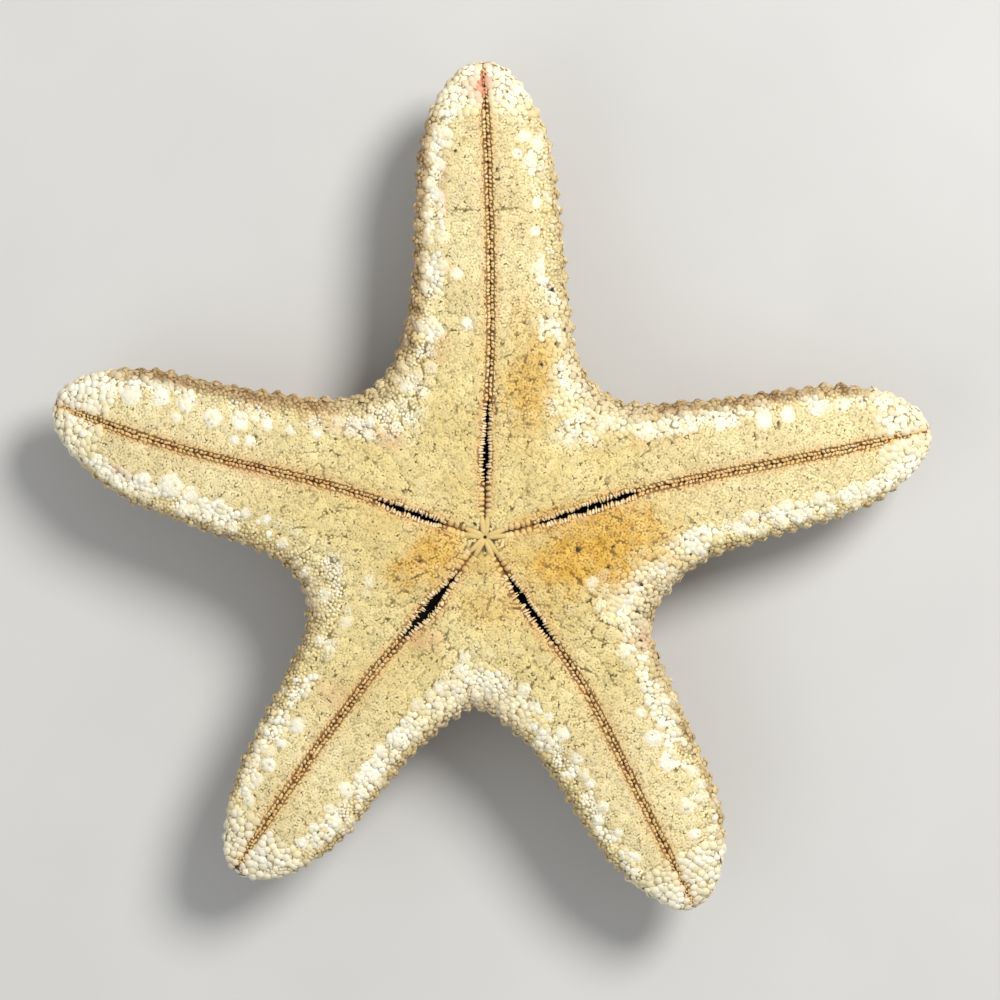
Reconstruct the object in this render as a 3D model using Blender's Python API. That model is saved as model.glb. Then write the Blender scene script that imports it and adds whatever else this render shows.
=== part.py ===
"""A dried five-armed starfish that lies on its back, with the mouth side up.

It rests on the five blunt knobs round the middle of its back. The x axis runs to the
right, y along the top arm, z up, and the origin is the middle of its footprint, at the
level that it rests on. Sizes below are in millimetres.
"""

import math
from collections import namedtuple

import bmesh
import bpy
from mathutils import Matrix, Vector

MM = 0.001
NAME = "starfish"

# heading: degrees counter-clockwise from +x, seen from the mouth side
# reach: from the mouth to the tip; bow and sway: how far the arm bends to its left,
# in one bend and in an s-bend; widths: from the furrow to each side, at ROOT_AT and
# run on to the tip; droop: how far the tip hangs towards the back
Arm = namedtuple("Arm", "name heading reach bow sway left right droop")
ARMS = (
    Arm("top", 90.2, 110.0, -1.5, 0.0, (18.7, 13.8), (18.0, 12.8), 2.5),
    Arm("left", 162.9, 104.5, 0.0, -1.2, (18.0, 11.8), (17.8, 14.0), 4.0),
    Arm("lower_left", 233.0, 96.5, -1.8, 0.0, (18.4, 15.0), (15.9, 9.2), 2.0),
    Arm("lower_right", 299.6, 98.6, 2.6, 0.6, (17.4, 15.2), (16.8, 10.0), 3.0),
    Arm("right", 13.5, 106.0, 1.6, 0.7, (17.0, 14.0), (17.6, 12.2), 4.0),
)
# From the mouth to the margin between each arm and the next one, in the order above
NOTCHES = (42.7, 43.2, 39.2, 42.6, 42.7)
ROOT_AT = 45.0
TIP_LENGTH = 26.0

# Heights of the body, from its widest line to the mouth side and to the back
CROWN_DISC, CROWN_ARM = 8.0, 6.0
KEEL_DISC, KEEL_ARM = 18.5, 8.0
KEEL_SPREAD = 46.0
CROWN_ROUNDING, KEEL_ROUNDING = 3.2, 1.8
RIM_HEIGHT = 23.5
SETTLE = 0.3  # the share of an arm over which its bend sets in

# Rows of marginal plates, which stand out as beads
BEADS = 22
BEAD_LIFT = 1.1
NET_LIFT = 0.45
FURROW_DEPTH = 1.0

# Stations across a half-arm, from the furrow to the margin and back under to the ridge
LIP, FLAT, SHOULDER, UPPER_BEADS, BETWEEN = 0.06, 0.42, 0.8, 0.93, 0.985
UNDER_BEADS, FLANK, MIDDLE = 0.93, 0.72, 0.38
MOUTH_SIDE = (0.0, LIP, FLAT, SHOULDER, UPPER_BEADS, BETWEEN, 1.0)
BACK_SIDE = (UNDER_BEADS, FLANK, MIDDLE, 0.0)

# Open slits of the furrows
SLIT_FROM, SLIT_TO, SLIT_WIDTH, SLIT_DEPTH = 9.0, 33.0, 2.0, 5.5

# Knobs on the back: five feet that it rests on, and a row along each arm. All share one
# turned profile, as radius and height from the tip up; the skin is SKIN_AT above the tip
KNOB_PROFILE = (
    (0.0, 0.0),
    (2.3, 0.0),
    (3.1, 0.9),
    (3.9, 4.2),
    (5.1, 6.5),
    (7.2, 8.5),
    (0.0, 9.8),
)
SKIN_AT = 7.2
KNOB_SIDES = 8
FEET_AT = 22.0
FOOT_PLAY = 0.5  # cut off each foot, flat, at the resting level
KNOBS_AT = (37.0, 50.0, 62.0, 73.0, 83.0)
KNOB_SCALES = (0.74, 0.66, 0.57, 0.48, 0.4)

# The ten plates round the mouth
PLATE_AT, PLATE_SIZE, PLATE_TURN = 3.1, (2.6, 0.95, 1.0), 14.0

TRIANGLES = 9750


class HalfArm:
    """One side of one arm, from its furrow to the line midway to the next arm."""

    def __init__(self, index, side):
        self.arm = ARMS[index]
        self.side = side
        other = ARMS[(index + side) % len(ARMS)]
        gap = (other.heading - self.arm.heading) * side % 360
        self.half = math.radians(gap / 2)
        notch = NOTCHES[index if side > 0 else index - 1]
        self.start = notch * math.cos(self.half)
        self.root, self.end = self.arm.left if side > 0 else self.arm.right
        slope = (self.end - self.root) / (self.arm.reach - ROOT_AT)
        self.flare = notch * math.sin(self.half) - self.straight(self.start)
        self.fall = self.flare / (1 / math.tan(self.half) + slope)
        self.margin = self.even_margin()
        self.axis = []

    def straight(self, s):
        share = (s - ROOT_AT) / (self.arm.reach - ROOT_AT)
        return self.root + (self.end - self.root) * share

    def closing(self, s):
        """1 along the arm, falling to 0 at the rounded tip."""
        near = max(0.0, 1 - (self.arm.reach - s) / TIP_LENGTH)
        return math.sqrt(max(0.0, 1 - near * near))

    def half_width(self, s):
        flare = self.flare * math.exp(-(s - self.start) / self.fall)
        return (self.straight(s) + flare) * self.closing(s)

    def even_margin(self):
        """Two points for each bead, evenly spaced along the margin from notch to tip."""
        fine = 1200
        stations = [
            self.arm.reach - (self.arm.reach - self.start) * (1 - i / fine) ** 2
            for i in range(fine + 1)
        ]
        points = [Vector((s, self.half_width(s))) for s in stations]
        run = [0.0]
        for a, b in zip(points, points[1:]):
            run.append(run[-1] + (b - a).length)
        steps, even, at = 2 * BEADS, [], 0
        for step in range(steps + 1):
            goal = run[-1] * step / steps
            while at < fine and run[at] < goal:
                at += 1
            even.append(points[at])
        return even

    def point(self, step, across, back):
        """A point of the body: a step along the margin, a share of the half-width."""
        u = step / (2 * BEADS)
        edge = self.margin[step]
        axis = self.axis[step]
        reach = self.arm.reach
        s = axis + across * (edge.x - axis)
        settled = min(1.0, u / SETTLE)
        settled *= settled * (3 - 2 * settled)
        turn = math.pi * s / reach
        bend = self.arm.bow * math.sin(turn) + self.arm.sway * math.sin(2 * turn)
        y = self.side * across * edge.y + bend * settled
        closing = self.closing(s) ** 0.85
        spread = math.exp(-((axis / KEEL_SPREAD) ** 2))
        rim = RIM_HEIGHT - self.arm.droop * (axis / reach) ** 2
        if back:
            depth = (KEEL_ARM + (KEEL_DISC - KEEL_ARM) * spread) * closing
            z = rim - depth * (1 - across**KEEL_ROUNDING) ** (1 / KEEL_ROUNDING)
        else:
            rise = (CROWN_ARM + (CROWN_DISC - CROWN_ARM) * spread) * closing
            z = rim + rise * (1 - across**CROWN_ROUNDING) ** (1 / CROWN_ROUNDING)
        heading = math.radians(self.arm.heading)
        x, y = (
            s * math.cos(heading) - y * math.sin(heading),
            s * math.sin(heading) + y * math.cos(heading),
        )
        return Vector((x, y, z)) * MM

    def lift(self, step, across, back):
        """How far the skin stands out: beads at the margin, a net of plates behind."""
        odd = step % 2
        near_tip = self.closing(self.axis[step])
        if across == 0 and not back:
            return -FURROW_DEPTH * near_tip * MM
        if across == 1.0:
            return (BEAD_LIFT if odd else 0.0) * near_tip * MM
        if across == UPPER_BEADS and not back:
            return (0.0 if odd else 0.7 * BEAD_LIFT) * near_tip * MM
        if back:
            row = BACK_SIDE.index(across)
            return NET_LIFT * (1 if (step + row) % 2 else -1) * near_tip * MM
        return 0.0


def half_arms():
    """Both sides of every arm, each pair with the same stations along its furrow."""
    made = []
    steps = 2 * BEADS
    for index in range(len(ARMS)):
        pair = [HalfArm(index, side) for side in (-1, 1)]
        shared = [
            sum(half.margin[i].x - half.start * (1 - i / steps) ** 3 for half in pair) / 2
            for i in range(steps + 1)
        ]
        for half in pair:
            half.axis = shared
        made += pair
    return made


def lay_half(mesh, lifts, half):
    """A grid over one half-arm: rows from notch to tip, stations from furrow to ridge."""
    steps = 2 * BEADS
    stations = [(a, False) for a in MOUTH_SIDE] + [(a, True) for a in BACK_SIDE]
    rows = []
    for step in range(steps + 1):
        row = []
        for across, back in stations:
            vertex = mesh.verts.new(half.point(step, across, back))
            vertex[lifts] = half.lift(step, across, back)
            row.append(vertex)
        rows.append(row)
    for low, high in zip(rows, rows[1:]):
        for i in range(len(stations) - 1):
            corners = [low[i], high[i], high[i + 1], low[i + 1]]
            mesh.faces.new(corners if half.side > 0 else corners[::-1])


def body_mesh():
    """The whole body: ten half-arms sewn together, then lifted into beads and plates."""
    mesh = bmesh.new()
    lifts = mesh.verts.layers.float.new("lift")
    for half in half_arms():
        lay_half(mesh, lifts, half)
    bmesh.ops.remove_doubles(mesh, verts=mesh.verts, dist=0.02 * MM)
    bmesh.ops.triangulate(mesh, faces=mesh.faces)
    mesh.normal_update()
    outward = [(vertex, vertex.normal.copy()) for vertex in mesh.verts]
    for vertex, normal in outward:
        vertex.co += normal * vertex[lifts]
    return mesh


def bent_axis(index, s):
    """The furrow's place in plan at a distance from the mouth."""
    arm = ARMS[index]
    settled = min(1.0, s / arm.reach / SETTLE)
    settled *= settled * (3 - 2 * settled)
    turn = math.pi * s / arm.reach
    bend = (arm.bow * math.sin(turn) + arm.sway * math.sin(2 * turn)) * settled
    heading = math.radians(arm.heading)
    return Vector(
        (
            s * math.cos(heading) - bend * math.sin(heading),
            s * math.sin(heading) + bend * math.cos(heading),
        )
    )


def height_on_axis(index, s, back):
    """The height of the ridge or of the furrow's lips above the resting level."""
    arm = ARMS[index]
    rim = RIM_HEIGHT - arm.droop * (s / arm.reach) ** 2
    spread = math.exp(-((s / KEEL_SPREAD) ** 2))
    if back:
        return rim - (KEEL_ARM + (KEEL_DISC - KEEL_ARM) * spread)
    return rim + CROWN_ARM + (CROWN_DISC - CROWN_ARM) * spread


def add_knob(mesh, place, scale):
    """A blunt turned knob that points down, its root sunk in the skin."""
    profile = [
        mesh.verts.new((place + Vector((radius, 0, height)) * scale) * MM)
        for radius, height in KNOB_PROFILE
    ]
    edges = [mesh.edges.new(pair) for pair in zip(profile, profile[1:])]
    bmesh.ops.spin(
        mesh,
        geom=profile + edges,
        cent=place * MM,
        axis=(0, 0, 1),
        angle=2 * math.pi,
        steps=KNOB_SIDES,
        use_merge=True,
    )


def knobs_mesh():
    """The feet that it rests on, and a row of knobs that shrinks along each arm."""
    mesh = bmesh.new()
    for index in range(len(ARMS)):
        add_knob(mesh, Vector((*bent_axis(index, FEET_AT), -FOOT_PLAY)), 1.0)
        for s, scale in zip(KNOBS_AT, KNOB_SCALES):
            tip = height_on_axis(index, s, back=True) - SKIN_AT * scale
            add_knob(mesh, Vector((*bent_axis(index, s), tip)), scale)
    bmesh.ops.remove_doubles(mesh, verts=mesh.verts, dist=0.01 * MM)
    bmesh.ops.recalc_face_normals(mesh, faces=mesh.faces)
    return mesh


def mouth_mesh():
    """Ten long plates in a ring round the mouth, two at the end of each furrow."""
    mesh = bmesh.new()
    top = RIM_HEIGHT + CROWN_DISC
    for arm in ARMS:
        for side in (-1, 1):
            turn = math.radians(arm.heading + side * PLATE_TURN)
            at = Vector((math.cos(turn), math.sin(turn), 0)) * PLATE_AT
            at.z = top - 0.3
            place = Matrix.Translation(at * MM) @ Matrix.Rotation(turn, 4, "Z")
            size = Matrix.Diagonal((*(v * MM for v in PLATE_SIZE), 1))
            bmesh.ops.create_icosphere(
                mesh, subdivisions=1, radius=1.0, matrix=place @ size
            )
    return mesh


def slits_mesh():
    """Cutters for the open part of each furrow: long lenses that stand on edge."""
    mesh = bmesh.new()
    for index in range(len(ARMS)):
        near, far = bent_axis(index, SLIT_FROM), bent_axis(index, SLIT_TO)
        middle = (SLIT_FROM + SLIT_TO) / 2
        along = far - near
        at = Vector((*((near + far) / 2), height_on_axis(index, middle, back=False)))
        turn = Matrix.Rotation(math.atan2(along.y, along.x), 4, "Z")
        size = (along.length / 2, SLIT_WIDTH / 2, SLIT_DEPTH)
        scale = Matrix.Diagonal((*(v * MM for v in size), 1))
        place = Matrix.Translation(at * MM) @ turn @ scale
        bmesh.ops.create_icosphere(mesh, subdivisions=2, radius=1.0, matrix=place)
    return mesh


def new_object(name, mesh, collection):
    data = bpy.data.meshes.new(name)
    mesh.to_mesh(data)
    mesh.free()
    made = bpy.data.objects.new(name, data)
    collection.objects.link(made)
    return made


def new_collection(name):
    made = bpy.data.collections.new(name)
    bpy.context.scene.collection.children.link(made)
    return made


def hide_helper(helper):
    helper.hide_render = True
    helper.display_type = "WIRE"
    return helper


def fuse(target, helper, operation):
    boolean = target.modifiers.new(helper.name, "BOOLEAN")
    boolean.operation = operation
    boolean.solver = "EXACT"
    boolean.object = helper
    boolean.use_self = operation == "UNION"


def settle_mesh(target):
    """Thins the triangles, cuts the feet off flat and puts the origin under the middle."""
    bpy.context.view_layer.update()
    graph = bpy.context.evaluated_depsgraph_get()
    count = len(target.evaluated_get(graph).data.loop_triangles)
    thin = target.modifiers.new("thin", "DECIMATE")
    thin.ratio = min(1.0, TRIANGLES / count)
    graph.update()
    fused = bpy.data.meshes.new_from_object(target.evaluated_get(graph))
    target.modifiers.clear()
    mesh = bmesh.new()
    mesh.from_mesh(fused)
    everything = mesh.verts[:] + mesh.edges[:] + mesh.faces[:]
    cut = bmesh.ops.bisect_plane(
        mesh, geom=everything, plane_co=(0, 0, 0), plane_no=(0, 0, -1), clear_outer=True
    )
    rims = [part for part in cut["geom_cut"] if isinstance(part, bmesh.types.BMEdge)]
    bmesh.ops.holes_fill(mesh, edges=rims, sides=0)
    xs = [v.co.x for v in mesh.verts]
    ys = [v.co.y for v in mesh.verts]
    middle = Vector((min(xs) + max(xs), min(ys) + max(ys), 0)) / 2
    bmesh.ops.translate(mesh, verts=mesh.verts, vec=-middle)
    bmesh.ops.triangulate(mesh, faces=mesh.faces)
    bmesh.ops.recalc_face_normals(mesh, faces=mesh.faces)
    mesh.to_mesh(target.data)
    mesh.free()
    bpy.data.meshes.remove(fused)


def skin_material():
    made = bpy.data.materials.new("skin")
    made.use_nodes = True
    shader = made.node_tree.nodes["Principled BSDF"]
    shader.inputs["Base Color"].default_value = (0.66, 0.5, 0.25, 1)
    shader.inputs["Roughness"].default_value = 0.8
    return made


def main():
    for thing in list(bpy.data.objects):
        bpy.data.objects.remove(thing)
    shown, helpers = new_collection(NAME), new_collection("helpers")
    starfish = new_object(NAME, body_mesh(), shown)
    knobs = hide_helper(new_object("knobs", knobs_mesh(), helpers))
    mouth = hide_helper(new_object("mouth", mouth_mesh(), helpers))
    slits = hide_helper(new_object("slits", slits_mesh(), helpers))
    fuse(starfish, knobs, "UNION")
    fuse(starfish, mouth, "UNION")
    fuse(starfish, slits, "DIFFERENCE")
    settle_mesh(starfish)
    starfish.data.materials.append(skin_material())
    starfish.data.shade_smooth()
    starfish.data.set_sharp_from_angle(angle=math.radians(50))


main()
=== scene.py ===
import math
from collections import namedtuple

import bpy
import numpy as np
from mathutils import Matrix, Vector
from mathutils.kdtree import KDTree


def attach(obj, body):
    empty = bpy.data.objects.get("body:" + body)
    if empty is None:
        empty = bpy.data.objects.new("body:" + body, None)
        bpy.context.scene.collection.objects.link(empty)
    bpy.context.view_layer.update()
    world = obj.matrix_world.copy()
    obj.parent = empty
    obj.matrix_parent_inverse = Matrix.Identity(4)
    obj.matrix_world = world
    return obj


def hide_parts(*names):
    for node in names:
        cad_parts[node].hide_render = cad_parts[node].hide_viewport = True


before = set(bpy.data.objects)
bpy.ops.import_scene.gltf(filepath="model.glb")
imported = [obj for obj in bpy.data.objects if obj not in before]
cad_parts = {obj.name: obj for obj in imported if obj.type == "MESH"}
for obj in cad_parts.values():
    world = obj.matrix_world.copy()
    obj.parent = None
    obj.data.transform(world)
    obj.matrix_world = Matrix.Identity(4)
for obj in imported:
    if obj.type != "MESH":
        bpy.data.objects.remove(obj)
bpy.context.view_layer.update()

# The looks of a dried starfish that lies on its back. Sizes are in millimetres, places are
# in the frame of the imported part, and a lone random generator makes each run the same.
MM = 0.001
random = np.random.default_rng(20)

# The photograph: millimetres a pixel, where the mouth is in it, and the mouth in the frame
PIXEL = 1 / 4.32
MOUTH_PX = (485.0, 537.0)
MOUTH = np.array((-1.55, -11.82))

# The body's form, as in the part's source
Arm = namedtuple("Arm", "name heading reach bow sway left right droop")
ARMS = (
    Arm("top", 90.2, 110.0, -1.5, 0.0, (18.7, 13.8), (18.0, 12.8), 2.5),
    Arm("left", 162.9, 104.5, 0.0, -1.2, (18.0, 11.8), (17.8, 14.0), 4.0),
    Arm("lower_left", 233.0, 96.5, -1.8, 0.0, (18.4, 15.0), (15.9, 9.2), 2.0),
    Arm("lower_right", 299.6, 98.6, 2.6, 0.6, (17.4, 15.2), (16.8, 10.0), 3.0),
    Arm("right", 13.5, 106.0, 1.6, 0.7, (17.0, 14.0), (17.6, 12.2), 4.0),
)
NOTCHES = (42.7, 43.2, 39.2, 42.6, 42.7)
ROOT_AT = 45.0
TIP_LENGTH = 26.0
CROWN_DISC, CROWN_ARM = 8.0, 6.0
KEEL_DISC, KEEL_ARM = 18.5, 8.0
KEEL_SPREAD = 46.0
CROWN_ROUNDING, KEEL_ROUNDING = 3.2, 1.8
RIM_HEIGHT = 23.5
SETTLE = 0.3
BEADS = 22
BEAD_LIFT, BEAD_REACH, BACK_BEAD_REACH = 1.1, 1.5, 2.2
RIM_SOFTENED = 0.7  # the grains fill the dips between the outermost plates
INNER_ROW = 0.93
NET_LIFT = 0.45
MOUTH_RADIUS = 3.2
FURROW_DEPTH, FURROW_REACH = 1.0, 0.8
NARROWING = 14.0  # how far from the tip the furrow starts to narrow
TIP_PLATES, TIP_GRAINS = 12.0, 12.5  # how far from the tip its own plates and grains start
SKIN_AT = 7.2  # where on a knob of full size the skin is, from the knob's tip
FEET_AT = 22.0
KNOBS_AT = (37.0, 50.0, 62.0, 73.0, 83.0)
KNOB_SCALES = (0.74, 0.66, 0.57, 0.48, 0.4)

# The fine grid of the skin
ROWS = 240
BACK_COLUMNS = 24
NEAR_FURROW = (0.3, 0.75, 1.3, 2.0)  # beyond the slit's edge
FLAT_COLUMNS = 29
FURROW_SHRINKS_AT = 8.0  # half-width under which the columns at the furrow draw together

# The open slit of each furrow: half-width at its widest, where it starts, ends and is widest
SLITS = (
    (0.62, 12.0, 34.0, 0.2),
    (0.62, 8.5, 27.0, 0.5),
    (0.98, 9.5, 31.0, 0.5),
    (0.78, 9.5, 31.0, 0.4),
    (0.68, 11.0, 40.0, 0.45),
)
SLIT_OPEN = 0.12  # half-width from which a slit counts as open
SLIT_DEPTH = 5.5

# How tan the outer band is on the clockwise and the other side of each arm; on the left arm's
# upper edge, which faces away from the light, it is partly painted shade
TAN_AND_SHADE_BANDS = ((0.5, 0.95), (1.0, 0.6), (0.65, 0.55), (0.55, 0.7), (0.5, 0.95))
# How white and cobbled the inner band is there
BAND_WHITES = np.array(((0.35, 0.85), (0.3, 0.65), (0.8, 0.75), (0.1, 1.0), (0.75, 0.5)))
# How white the band round each notch is, from the notch between the top and the left arm on
NOTCH_WHITES = np.array((0.4, 0.4, 1.0, 0.8, 0.75))

# The fields of a point of the skin: millimetres along its arm and from the furrow, shares of the
# way from notch to tip and from furrow to margin, if it is on the back, its arm and the arm's side
S, D, U, ACROSS, BACK, ARM, SIDE = range(7)


def smooth(x, low, high):
    """0 below low, 1 above high, with a soft step between."""
    t = np.clip((x - low) / (high - low), 0, 1)
    return t * t * (3 - 2 * t)


LATTICE = random.random((32, 32, 32))


def noise(points, size):
    """Smooth random values from 0 to 1, with lumps about size across."""
    p = np.asarray(points) / size + 1000.0
    low = np.floor(p).astype(int)
    part = p - low
    part = part * part * (3 - 2 * part)
    total = np.zeros(len(p))
    for corner in np.ndindex(2, 2, 2):
        at = (low + corner) % 32
        weight = np.prod(np.where(corner, part, 1 - part), axis=1)
        total += weight * LATTICE[at[:, 0], at[:, 1], at[:, 2]]
    return total


def rough(points, size):
    """Two layers of noise, centred on 0.5."""
    return 0.65 * noise(points, size) + 0.35 * noise(points[:, ::-1], size * 0.43)


def on_arm(arm, s, aside, settled):
    """Where something beside an arm's axis lies, as far as the arm's bend has set in."""
    turn = math.pi * s / arm.reach
    y = aside + (arm.bow * np.sin(turn) + arm.sway * np.sin(2 * turn)) * settled
    heading = math.radians(arm.heading)
    return (
        s * math.cos(heading) - y * math.sin(heading) + MOUTH[0],
        s * math.sin(heading) + y * math.cos(heading) + MOUTH[1],
    )


def rim_height(arm, s):
    return RIM_HEIGHT - arm.droop * (s / arm.reach) ** 2


def thickness(on_disc, on_arms, s):
    """How thick the body is above or below its rim, at a distance from the mouth."""
    return on_arms + (on_disc - on_arms) * np.exp(-((s / KEEL_SPREAD) ** 2))


class HalfArm:
    """One side of one arm, from its furrow to the line midway to the next arm."""

    def __init__(self, index, side):
        self.index, self.side = index, side
        self.arm = ARMS[index]
        other = ARMS[(index + side) % len(ARMS)]
        gap = (other.heading - self.arm.heading) * side % 360
        self.half = math.radians(gap / 2)
        notch = NOTCHES[index if side > 0 else index - 1]
        self.start = notch * math.cos(self.half)
        self.root, self.end = self.arm.left if side > 0 else self.arm.right
        slope = (self.end - self.root) / (self.arm.reach - ROOT_AT)
        self.flare = notch * math.sin(self.half) - self.straight(self.start)
        self.fall = self.flare / (1 / math.tan(self.half) + slope)
        share = np.linspace(0, 1, 4001)
        self.fine = self.arm.reach - (self.arm.reach - self.start) * (1 - share) ** 2
        steps = np.hypot(np.diff(self.fine), np.diff(self.half_width(self.fine)))
        self.run = np.concatenate(((0,), np.cumsum(steps)))
        self.length = self.run[-1]
        self.lifts = 0.75 + 0.5 * random.random(2 * BEADS + 2)

    def straight(self, s):
        share = (s - ROOT_AT) / (self.arm.reach - ROOT_AT)
        return self.root + (self.end - self.root) * share

    def closing(self, s):
        near = np.clip(1 - (self.arm.reach - s) / TIP_LENGTH, 0, 1)
        return np.sqrt(1 - near * near)

    def half_width(self, s):
        flare = self.flare * np.exp(-(s - self.start) / self.fall)
        return (self.straight(s) + flare) * self.closing(s)

    def edge(self, u):
        return np.interp(u, self.run / self.length, self.fine)

    def own_axis(self, u):
        return self.edge(u) - self.start * (1 - u) ** 3

    def place(self, u, across, back):
        """Points of the smooth body, and how far along the arm they are."""
        edge, axis = self.edge(u), self.axis(u)
        s = axis + across * (edge - axis)
        x, y = on_arm(
            self.arm, s, self.side * across * self.half_width(edge), smooth(u, 0, SETTLE)
        )
        closing = self.closing(s) ** 0.85
        rim = rim_height(self.arm, axis)
        if back:
            depth = thickness(KEEL_DISC, KEEL_ARM, axis) * closing
            z = rim - depth * (1 - across**KEEL_ROUNDING) ** (1 / KEEL_ROUNDING)
        else:
            rise = thickness(CROWN_DISC, CROWN_ARM, axis) * closing
            z = rim + rise * (1 - across**CROWN_ROUNDING) ** (1 / CROWN_ROUNDING)
        return np.stack((x, y, z), -1), s


def half_arms():
    made = []
    for index in range(len(ARMS)):
        pair = [HalfArm(index, side) for side in (-1, 1)]
        for half in pair:
            half.axis = lambda u, pair=pair: (pair[0].own_axis(u) + pair[1].own_axis(u)) / 2
        made += pair
    return made


def slit_width(index, s):
    """The open furrow's ragged half-width, from 0 where its spines close it."""
    widest, first, last, peak = SLITS[index]
    share = np.clip((s - first) / (last - first), 0, 1)
    shape = np.where(share < peak, smooth(share, 0, peak), smooth(share, 1, peak))
    ragged = noise(np.stack((s, s * 0 + 7.0 * index, s * 0), -1), 2.3)
    return widest * shape**0.6 * (0.25 + 1.25 * ragged)


def slit_beside(arm, s):
    """The half-width of the open furrow beside points that lie on any arm."""
    width = np.zeros(len(s))
    for index in range(len(ARMS)):
        mine = arm == index
        width[mine] = slit_width(index, s[mine])
    return width


def reach_of(arm):
    return np.array([a.reach for a in ARMS])[arm.astype(int)]


def columns_at(half, u):
    """Where the skin's columns run, from furrow to margin, as shares of the half-width."""
    width = half.half_width(half.edge(u))
    s = half.axis(u)
    slit = np.maximum(slit_width(half.index, s), SLIT_OPEN)
    shrink = np.minimum(1, width / FURROW_SHRINKS_AT)
    inner = [slit * 0, slit * 0.85, slit, *(slit + gap for gap in NEAR_FURROW)]
    near = np.stack([column * shrink for column in inner], -1)
    share = np.linspace(0, 1, FLAT_COLUMNS + 1)[1:]
    last = near[:, -1:]
    spread = 1 - (1 - share) ** 1.25
    outer = last + (width[:, None] - last) * spread
    distance = np.concatenate((near, outer), 1)
    return np.clip(distance / np.maximum(width, 1e-6)[:, None], 0, 1)


def quads(grid, flip=False):
    """Two triangles for each square of a grid of point numbers, or of their places."""
    a, b, c, d = grid[:-1, :-1], grid[1:, :-1], grid[1:, 1:], grid[:-1, 1:]
    if flip:
        b, d = d, b
    shape = (-1, 3, *grid.shape[2:])
    return [np.stack(trio, 2).reshape(shape) for trio in ((a, b, c), (a, c, d))]


def proper(triangles):
    """Which triangles have three different corners."""
    return ~(triangles == np.roll(triangles, 1, 1)).any(1)


def tube(grid):
    """The triangles of a grid of point numbers that closes round on itself, and their spots.

    A row that repeats one number closes to a point there.
    """
    grid = np.concatenate((grid, grid[:, :1]), 1)
    steps = (np.linspace(0, 1, length) for length in grid.shape)
    spot = np.stack(np.meshgrid(*steps, indexing="ij"), -1)
    triangles, spots = np.concatenate(quads(grid)), np.concatenate(quads(spot))
    whole = proper(triangles)
    return triangles[whole], spots[whole]


Patch = namedtuple("Patch", "half back grid u across")


def base_skin(halves):
    """The smooth body as one sewn grid, with its fields, the patches and the corners' places."""
    points, fields, corners, patches, places, count = [], [], [], [], [], 0
    rows = np.linspace(0, 1, ROWS)
    low, size = cells(2 * len(halves))
    for half in halves:
        for back in (False, True):
            if back:
                share = np.linspace(1, 0, BACK_COLUMNS + 1)
                across = np.tile(share**0.8, (ROWS, 1))
            else:
                across = columns_at(half, rows)
            u = np.repeat(rows[:, None], across.shape[1], 1)
            place, s = half.place(u.ravel(), across.ravel(), back)
            d = across.ravel() * half.half_width(half.edge(u.ravel()))
            full = np.ones(len(s))
            fields.append(np.stack((
                s, d, u.ravel(), across.ravel(), full * back,
                full * half.index, full * half.side,
            ), -1))
            grid = count + np.arange(u.size).reshape(u.shape)
            points.append(place)
            even = np.linspace(0, 1, across.shape[1])[None] + 0 * u
            share = 0.02 + 0.96 * np.stack((u, even), -1)
            places.append((low[len(patches)] + size * share).reshape(-1, 2))
            patches.append(Patch(half, back, grid, u, across))
            count += u.size
            corners += quads(grid, flip=half.side < 0)
    points, fields = np.concatenate(points), np.concatenate(fields)
    corners, places = np.concatenate(corners), np.concatenate(places)
    _, first, sewn = np.unique(
        np.round(points, 4), axis=0, return_index=True, return_inverse=True
    )
    sewn = sewn.ravel()
    patches = [patch._replace(grid=sewn[patch.grid]) for patch in patches]
    on_back = fields[corners, BACK].min(1) > 0.5
    triangles = sewn[corners]
    whole = proper(triangles)
    return (
        points[first], triangles[whole], fields[first], patches,
        places[corners][whole], on_back[whole],
    )


def outward(points, triangles):
    """A unit normal at each point."""
    a, b, c = (points[triangles[:, i]] for i in range(3))
    facing = np.cross(b - a, c - a)
    total = np.zeros_like(points)
    for i in range(3):
        np.add.at(total, triangles[:, i], facing)
    return total / np.maximum(np.linalg.norm(total, axis=1), 1e-12)[:, None]


def bead_lift(half, u, across, back):
    """Two rows of marginal plates, one at the widest line and one inside it."""
    wave = 2 * BEADS * u
    which = np.clip(np.round(wave).astype(int), 0, 2 * BEADS)
    size = half.lifts[which]
    size = 1 + (size - 1) * smooth(u, 0.0, 0.05)
    width = half.half_width(half.edge(u))
    gap = (1 - across) * width
    at_rim = np.exp(-((gap / (BACK_BEAD_REACH if back else BEAD_REACH)) ** 2))
    odd = np.sin(math.pi * wave / 2) ** 2
    rim = BEAD_LIFT * RIM_SOFTENED * odd * at_rim * size
    if back:
        return rim
    at_row = np.exp(-(((INNER_ROW - across) * width / BEAD_REACH) ** 2))
    at_row *= smooth(gap, 0, 0.7)
    return rim + 0.6 * BEAD_LIFT * (1 - odd) * at_row * size


def in_slit(patch):
    """Which points of a mouth-side patch are down in its open slit."""
    half = patch.half
    width = slit_width(half.index, half.axis(patch.u[:, 0]))
    inner = np.arange(patch.u.shape[1]) < 2
    return (width > SLIT_OPEN)[:, None] & inner


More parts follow.
